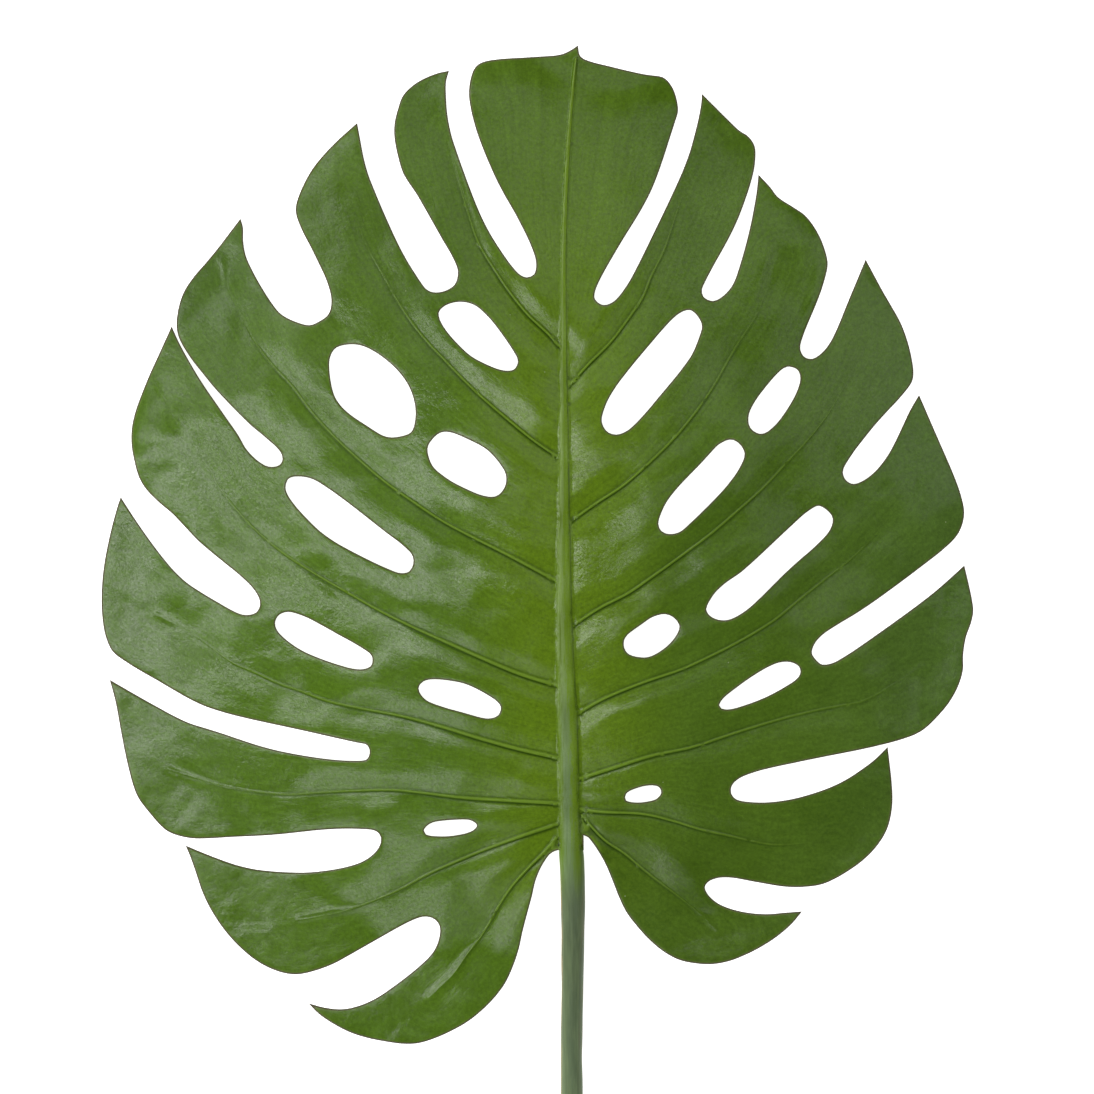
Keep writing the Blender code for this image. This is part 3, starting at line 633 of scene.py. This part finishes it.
def make_blade(shift, upper_material, lower_material):
    """The blade: an upper and a lower face of the same triangles, and a wall along the rims."""
    loops = [smoothed_rim(loop - shift[:2]) for loop in solid_rims(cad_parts["leaf_blade"].data)]
    rim = tree_of(np.vstack([spaced(np.vstack([loop, loop[:1]]), RIM_SAMPLE) for loop in loops]))
    midrib = smooth_line(MIDRIB, MIDRIB_STEP)
    left = [smooth_line(vein, VEIN_STEP) for vein in LEFT_VEINS]
    right = [smooth_line(vein, VEIN_STEP) for vein in RIGHT_VEINS]
    corners, faces = triangulated(loops, inner_points(loops, rim, midrib, left + right))
    upper, lower, facts = shaped(corners, midrib, left, right, rim)
    count = len(corners)
    vertices = np.vstack([np.column_stack([corners, upper]), np.column_stack([corners, lower])])
    sides = np.concatenate([faces[:, [0, 1]], faces[:, [1, 2]], faces[:, [2, 0]]]).tolist()
    shared = {(b, a) for a, b in sides}
    walls = [(b, a, a + count, b + count) for a, b in sides if (a, b) not in shared]
    all_faces = faces.tolist() + (faces[:, ::-1] + count).tolist() + walls
    face_materials = [0] * len(faces) + [1] * len(faces) + [0] * len(walls)
    facts = {name: np.concatenate([values, values]) for name, values in facts.items()}
    blade = make_piece("leaf_blade_fine", vertices, all_faces, (upper_material, lower_material),
                       face_materials, facts, shift)
    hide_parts("leaf_blade")


def make_stalk(shift, material, cut_material):
    """The stalk: rings of points along its centre line, closed at both ends."""
    line = smooth_line(STALK, STALK_STEP)
    angles = np.arange(STALK_SIDES) * math.tau / STALK_SIDES
    from_top = np.abs((angles - math.pi / 2 + math.pi) % math.tau - math.pi)
    groove = STALK_GROOVE_DEPTH * bump(from_top, STALK_GROOVE_ANGLE)
    length, height = STALK_UNEVENNESS
    rings = []
    for x, y, z, radius in line:
        formed = min(1.0, max(0.0, -y / MERGING_LENGTH))
        uneven = [noise.noise(Vector((math.cos(a), math.sin(a), y / length))) for a in angles]
        reach = radius * (1 - formed * groove) + formed * height * np.array(uneven)
        ring = np.column_stack([x + reach * np.cos(angles), np.full(STALK_SIDES, y),
                                np.maximum(0.0, z + reach * np.sin(angles))])
        rings.append(ring)
    side_rings = len(rings)
    x, y, z, _ = line[-1]
    centre = np.array([x, y, z])
    rings += [centre + (rings[-1] - centre) * share for share in CUT_RINGS]
    vertices = np.vstack(rings + [centre[None, :], line[:1, :3]])
    end, start = len(vertices) - 2, len(vertices) - 1
    faces, face_materials = [], []
    for row in range(len(rings) - 1):
        for i in range(STALK_SIDES):
            a, b = row * STALK_SIDES + i, row * STALK_SIDES + (i + 1) % STALK_SIDES
            faces.append((a, b, b + STALK_SIDES, a + STALK_SIDES))
            face_materials.append(0 if row < side_rings - 1 else 1)
    last = (len(rings) - 1) * STALK_SIDES
    for i in range(STALK_SIDES):
        j = (i + 1) % STALK_SIDES
        faces += [(last + i, last + j, end), (j, i, start)]
        face_materials += [1, 0]
    turn = np.tile(np.cos(angles), len(rings)).tolist() + [0.0, 0.0]
    facts = {"turn": turn, "down": -vertices[:, 1]}
    stalk = make_piece("leaf_stalk_fine", vertices, faces, (material, cut_material), face_materials,
                       facts, shift)
    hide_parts("leaf_stalk")


class Nodes:
    """Short calls that add nodes to one material and link them."""

    def __init__(self, name):
        self.material = bpy.data.materials.new(name)
        self.material.use_nodes = True
        self.tree = self.material.node_tree
        self.shader = self.tree.nodes["Principled BSDF"]

    def put(self, socket, value):
        if isinstance(value, bpy.types.NodeSocket):
            self.tree.links.new(value, socket)
        elif isinstance(value, tuple) and len(value) == 3 and socket.type == "RGBA":
            socket.default_value = (*value, 1.0)
        else:
            socket.default_value = value

    def set(self, **values):
        for name, value in values.items():
            self.put(self.shader.inputs[name.replace("_", " ")], value)

    def fact(self, name):
        node = self.tree.nodes.new("ShaderNodeAttribute")
        node.attribute_name = name
        return node.outputs["Fac"]

    def place(self):
        return self.tree.nodes.new("ShaderNodeTexCoord").outputs["Object"]

    def vector(self, x, y, z):
        node = self.tree.nodes.new("ShaderNodeCombineXYZ")
        for socket, value in zip(node.inputs, (x, y, z)):
            self.put(socket, value)
        return node.outputs[0]

    def stretched(self, vector, scale):
        node = self.tree.nodes.new("ShaderNodeMapping")
        self.put(node.inputs["Vector"], vector)
        node.inputs["Scale"].default_value = scale
        return node.outputs[0]

    def math(self, operation, a, b=0.5):
        node = self.tree.nodes.new("ShaderNodeMath")
        node.operation = operation
        self.put(node.inputs[0], a)
        self.put(node.inputs[1], b)
        return node.outputs[0]

    def mapped(self, value, low, high, to_low=0.0, to_high=1.0, smooth=True):
        node = self.tree.nodes.new("ShaderNodeMapRange")
        node.interpolation_type = "SMOOTHSTEP" if smooth else "LINEAR"
        for socket, given in zip(node.inputs, (value, low, high, to_low, to_high)):
            self.put(socket, given)
        return node.outputs[0]

    def noise(self, vector, scale, detail=3.0, roughness=0.55):
        node = self.tree.nodes.new("ShaderNodeTexNoise")
        self.put(node.inputs["Vector"], vector)
        self.put(node.inputs["Scale"], scale)
        self.put(node.inputs["Detail"], detail)
        self.put(node.inputs["Roughness"], roughness)
        return node.outputs["Fac"]

    def specks(self, vector, scale, radius, share):
        """Small round spots, one in a share of the cells of a random division."""
        node = self.tree.nodes.new("ShaderNodeTexVoronoi")
        self.put(node.inputs["Vector"], vector)
        self.put(node.inputs["Scale"], scale)
        spot = self.mapped(node.outputs["Distance"], radius * scale * 0.7, radius * scale, 1.0, 0.0)
        return self.math("MULTIPLY", spot, self.math("LESS_THAN", node.outputs["Color"], share))

    def mix(self, factor, a, b, blend="MIX"):
        node = self.tree.nodes.new("ShaderNodeMix")
        node.data_type = "RGBA"
        node.blend_type = blend
        self.put(node.inputs[0], factor)
        self.put(node.inputs[6], a)
        self.put(node.inputs[7], b)
        return node.outputs[2]

    def shaded(self, colour, shade):
        return self.mix(1.0, colour, self.vector(shade, shade, shade), "MULTIPLY")

    def bump(self, height, distance, strength=1.0, normal=None):
        node = self.tree.nodes.new("ShaderNodeBump")
        self.put(node.inputs["Height"], height)
        node.inputs["Distance"].default_value = distance
        node.inputs["Strength"].default_value = strength
        if normal is not None:
            self.put(node.inputs["Normal"], normal)
        return node.outputs[0]


def midrib_painted_light(nodes, across, pale, sheen_edge):
    """The colours across the midrib from -1 to 1: a painted pale sheen on its lit left side, then deep
    green, and painted shade at the right edge.
    """
    streaks = nodes.noise(nodes.stretched(nodes.place(), (1100.0, 25.0, 1100.0)), 1.0, 3.0, 0.6)
    wavering = nodes.math("ADD", across, nodes.mapped(streaks, *SPREAD, -0.3, 0.3, smooth=False))
    past_edge = nodes.math("SUBTRACT", wavering, sheen_edge)
    colour = nodes.mix(nodes.mapped(past_edge, -0.25, 0.3), pale, MIDRIB_GREEN)
    colour = nodes.mix(nodes.mapped(wavering, -0.4, -0.9, 0.0, 0.9), colour, MIDRIB_GREEN)
    colour = nodes.mix(nodes.mapped(wavering, 0.55, 1.0, 0.0, 0.6), colour, CREASE_SHADE_GREEN)
    return nodes.shaded(colour, nodes.mapped(streaks, *SPREAD, 0.85, 1.15, smooth=False))


def between_veins(nodes, from_midrib, patches, streaks, grain):
    """The blade's green: yellower by the midrib, painted lighter on the left for the light from the left,
    greyer at the lobes' tips, partly with a painted sheen.
    """
    towards_tip = nodes.fact("towards_tip")
    # The left half is painted lighter for the light from the left, less so towards the tip
    left = nodes.mapped(nodes.fact("across"), 0.5, -0.5, 0.0, LEFT_LIGHT_SHARE)
    left = nodes.math("MULTIPLY", left, nodes.mapped(towards_tip, *LEFT_LIGHT_FADES, 1.0, 0.15))
    full_left_light = nodes.mapped(left, 0.0, LEFT_LIGHT_SHARE)
    colour = nodes.mix(nodes.mapped(patches, 0.35, 0.65), DEEP_GREEN, MID_GREEN)
    colour = nodes.mix(left, colour, LEFT_PAINTED_LIGHT_GREEN)
    central = nodes.mapped(towards_tip, *CENTRE_FADES, 0.85, 0.15)
    near = nodes.math("MULTIPLY", nodes.mapped(from_midrib, *CENTRE_REACH, 1.0, 0.0), central)
    above_base = nodes.mapped(towards_tip, *BASE_FADES, 0.35, 1.0)
    near = nodes.math("MULTIPLY", near, nodes.math("MAXIMUM", above_base, full_left_light))
    colour = nodes.mix(near, colour, CENTRE_GREEN)
    # Greyer towards the lobes' tips, partly a painted sheen; less of it on the left half
    outer = nodes.mapped(from_midrib, *TIP_REACH, 0.0, 0.7)
    outer = nodes.math("MULTIPLY", outer, nodes.mapped(left, 0.0, LEFT_LIGHT_SHARE, 1.0, 0.3))
    colour = nodes.mix(outer, colour, TIP_GREEN_AND_SHEEN)
    light = nodes.mapped(streaks, *SPREAD, 0.88, 1.12, smooth=False)
    fleck = nodes.mapped(grain, 0.25, 0.75, 0.74, 1.26, smooth=False)
    lowest = nodes.math("MAXIMUM", nodes.mapped(towards_tip, *LOWEST_LOBES, 0.9, 1.0), full_left_light)
    return nodes.shaded(colour, nodes.math("MULTIPLY", nodes.math("MULTIPLY", light, fleck), lowest))


def upper_green():
    """The glossy upper side, with its veins, midrib and rim."""
    nodes = Nodes("leaf_upper")
    place = nodes.place()
    distances = "from_midrib", "from_rim", "towards_tip"
    from_midrib, from_rim, towards_tip = (nodes.fact(name) for name in distances)
    rib, crease, midrib = (nodes.fact(name) for name in ("rib", "crease", "midrib"))
    across_fan = nodes.math("MULTIPLY", nodes.fact("fan"), 45.0)
    along_fan = nodes.vector(across_fan, nodes.math("MULTIPLY", from_midrib, 0.12), 0.0)
    streaks = nodes.noise(along_fan, 0.75, 4.0, 0.6)
    patches = nodes.noise(place, PATCHES)
    grain = nodes.noise(place, GRAIN, 3.0, 0.7)
    colour = between_veins(nodes, from_midrib, patches, streaks, grain)
    colour = nodes.mix(nodes.specks(place, SPECKS, SPECK_RADIUS, 0.4), colour, SPECK)
    # Painted shade in the creases beside the ribs, stronger below them
    colour = nodes.mix(nodes.math("MULTIPLY", crease, 0.9), colour, CREASE_SHADE_GREEN)
    colour = nodes.mix(nodes.math("MULTIPLY", rib, 0.9), colour, RIB_GREEN)
    # The midrib: a painted sheen on its lit left side and painted shade at its right edge
    sheen_edge = nodes.mapped(towards_tip, *MIDRIB_SHEEN_EDGE_SHIFTS, 0.1, -0.3)
    sheen_strip = nodes.mix(nodes.mapped(towards_tip, *MIDRIB_GREY_SHEEN_FADES), MIDRIB_PAINTED_GREY_SHEEN, MIDRIB_PAINTED_SHEEN)
    strips = midrib_painted_light(nodes, nodes.fact("across"), sheen_strip, sheen_edge)
    colour = nodes.mix(nodes.mapped(midrib, 0.0, 0.35), colour, strips)
    pale = nodes.mapped(from_rim, *PALE_RIM_REACH, 1.0, 0.0)
    pale = nodes.math("MULTIPLY", pale, nodes.mapped(patches, 0.4, 0.6))
    colour = nodes.mix(nodes.math("MULTIPLY", pale, 0.5), colour, PALE_RIM)
    edge = nodes.mapped(from_rim, *DARK_RIM_REACH, 1.0, 0.0)
    colour = nodes.mix(edge, colour, DARK_RIM)
    uneven = nodes.math("ADD", nodes.noise(place, GLOSS_PATCHES, 4.0, 0.6), streaks)
    rough = nodes.mapped(uneven, 0.7, 1.3, 0.12, 0.2)
    rough = nodes.math("ADD", rough, nodes.math("MULTIPLY", midrib, 0.25))
    dull = nodes.math("MAXIMUM", nodes.math("MAXIMUM", crease, edge), nodes.math("MULTIPLY", rib, 0.6))
    dull = nodes.math("MAXIMUM", dull, nodes.math("MULTIPLY", midrib, 0.5))
    cells = nodes.mapped(nodes.noise(place, CELLS, 3.0, 0.75), *SPREAD, 0.35, 1.55, smooth=False)
    gloss = nodes.math("MULTIPLY", nodes.mapped(dull, 0.0, 1.0, 0.5, 0.05), cells)
    wrinkled = nodes.mapped(nodes.noise(place, WRINKLED_PLACES, 2.0), 0.5, 0.66, 0.15, 1.0)
    wrinkles = nodes.math("MULTIPLY", nodes.noise(place, WRINKLES, 3.0, 0.6), wrinkled)
    fine = nodes.bump(nodes.math("ADD", grain, streaks), GRAIN_HEIGHT)
    nodes.set(Base_Color=colour, Roughness=rough, Specular_IOR_Level=gloss,
              Normal=nodes.bump(wrinkles, WRINKLE_HEIGHT, 1.0, fine))
    return nodes.material


def lower_green():
    """The plain, paler underside."""
    nodes = Nodes("leaf_underside")
    place = nodes.place()
    grain = nodes.noise(place, 500.0, 4.0, 0.7)
    colour = nodes.mix(nodes.noise(place, 30.0), UNDER_GREEN, UNDER_PALE)
    colour = nodes.mix(nodes.fact("rib"), colour, UNDER_RIB)
    colour = nodes.mix(nodes.fact("midrib"), colour, UNDER_RIB)
    nodes.set(Base_Color=colour, Roughness=nodes.mapped(grain, *SPREAD, 0.5, 0.65),
              Normal=nodes.bump(grain, 0.0001, 0.6))
    return nodes.material


def stalk_green():
    """The stalk's skin: grey-green fibres, painted lighter on the left flank and towards the cut end, tan
    on the left flank, brown on the right, midrib on top.
    """
    nodes = Nodes("stalk_skin")
    place = nodes.place()
    turn, down = nodes.fact("turn"), nodes.fact("down")
    fibres = nodes.noise(nodes.stretched(place, (900.0, 40.0, 900.0)), 1.0, 5.0, 0.6)
    mottle = nodes.noise(nodes.stretched(place, (260.0, 40.0, 260.0)), 1.0, 4.0, 0.65)
    colour = nodes.mix(nodes.mapped(mottle, 0.35, 0.65), STALK_DARK, STALK_LIGHT)
    # Painted light: the left flank lighter, for the light from the left
    colour = nodes.mix(nodes.mapped(turn, -0.1, -0.8, 0.0, 0.6), colour, STALK_LIGHT)
    tan = nodes.math("MULTIPLY", nodes.mapped(turn, -0.8, -0.95), nodes.mapped(fibres, 0.4, 0.6))
    colour = nodes.mix(nodes.math("MULTIPLY", tan, 0.7), colour, STALK_TAN)
    brown = nodes.math("MULTIPLY", nodes.mapped(turn, 0.5, 0.95), nodes.mapped(mottle, 0.45, 0.6))
    colour = nodes.mix(nodes.math("MULTIPLY", brown, 0.5), colour, STALK_BROWN)
    shade = nodes.mapped(fibres, *SPREAD, 0.85, 1.15)
    # Painted light: lighter towards the cut end, to even out the light's fall-off
    shade = nodes.math("MULTIPLY", shade, nodes.mapped(down, *STALK_PAINTED_LIGHTENING, 0.92, 1.12))
    # Near the blade the stalk's top takes the midrib's painted sheen and shade
    strips = midrib_painted_light(nodes, turn, MIDRIB_PAINTED_GREY_SHEEN, 0.1)
    colour = nodes.mix(nodes.mapped(down, *STALK_MERGES, 1.0, 0.0), nodes.shaded(colour, shade), strips)
    nodes.set(Base_Color=colour, Roughness=nodes.mapped(mottle, *SPREAD, 0.5, 0.62),
              Specular_IOR_Level=0.25, Normal=nodes.bump(fibres, 0.0001, 0.7))
    return nodes.material


def cut_end():
    """The stalk's cut end, pale with dark pores."""
    nodes = Nodes("stalk_cut")
    pores = nodes.noise(nodes.place(), 1400.0, 3.0, 0.6)
    colour = nodes.mix(nodes.mapped(pores, 0.4, 0.6), CUT_PALE, CUT_DARK)
    nodes.set(Base_Color=colour, Roughness=0.7, Normal=nodes.bump(pores, 0.0003, 0.8))
    return nodes.material


def make_floor():
    """A pale floor, just below what lies on it."""
    nodes = Nodes("floor_white")
    nodes.set(Base_Color=nodes.mix(nodes.noise(nodes.place(), 3.0), *FLOOR_COLOURS), Roughness=0.9,
              Emission_Color=(1.0, 1.0, 1.0), Emission_Strength=0.9)
    mesh = bpy.data.meshes.new("floor")
    reach, low = 5.0, -0.05 * MM
    corners = [(-reach, -reach, low), (reach, -reach, low), (reach, reach, low), (-reach, reach, low)]
    mesh.from_pydata(corners, [], [(0, 1, 2, 3)])
    mesh.materials.append(nodes.material)
    floor = bpy.data.objects.new("floor", mesh)
    bpy.context.scene.collection.objects.link(floor)


def softbox(name, place, size, radiance, mirrored):
    """A soft rectangular light, aimed at the blade; the sheen shows only the mirrored ones."""
    light = bpy.data.lights.new(name, "AREA")
    light.shape = "RECTANGLE"
    light.size, light.size_y = size
    light.energy = radiance * math.pi * size[0] * size[1]
    lamp = bpy.data.objects.new(name, light)
    lamp.location = place
    lamp.rotation_euler = (Vector(LIGHT_TARGET) - Vector(place)).to_track_quat("-Z", "Y").to_euler()
    lamp.visible_camera = False
    lamp.visible_glossy = mirrored
    bpy.context.scene.collection.objects.link(lamp)


def make_light():
    """The soft lights, and a faint white light from all round."""
    for light in SHEEN_LIGHTS:
        softbox(*light, mirrored=True)
    for light in SIDE_LIGHTS:
        softbox(*light, mirrored=False)
    world = bpy.data.worlds.new("studio")
    world.use_nodes = True
    background = world.node_tree.nodes["Background"]
    background.inputs["Color"].default_value = (1.0, 1.0, 1.0, 1.0)
    background.inputs["Strength"].default_value = WORLD_STRENGTH
    bpy.context.scene.world = world
    bpy.context.scene.view_settings.view_transform = "Standard"


def make_camera():
    """Straight above, far away with a long lens, its frame 547 mm wide at the height of the lobes."""
    camera = bpy.data.cameras.new("camera")
    camera.lens = 300.0
    camera.sensor_width = 36.0
    frame_width, centre, level = 0.547, (0.0048, 0.0751), 0.008
    height = level + frame_width * camera.lens / camera.sensor_width
    obj = bpy.data.objects.new("camera", camera)
    obj.location = (*centre, height)
    bpy.context.scene.collection.objects.link(obj)
    bpy.context.scene.camera = obj


def frame_shift():
    """How far the leaf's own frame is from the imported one, found at the stalk's upper end."""
    places = np.array([tuple(vertex.co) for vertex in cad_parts["leaf_stalk"].data.vertices]) / MM
    top = places[places[:, 1] > places[:, 1].max() - SAME_LEVEL]
    middle = (top[:, 0].min() + top[:, 0].max()) / 2
    return np.array([middle - STALK_TOP[0], top[0, 1] - STALK_TOP[1], 0.0])


shift = frame_shift()
make_blade(shift, upper_green(), lower_green())
make_stalk(shift, stalk_green(), cut_end())
make_floor()
make_light()
make_camera()
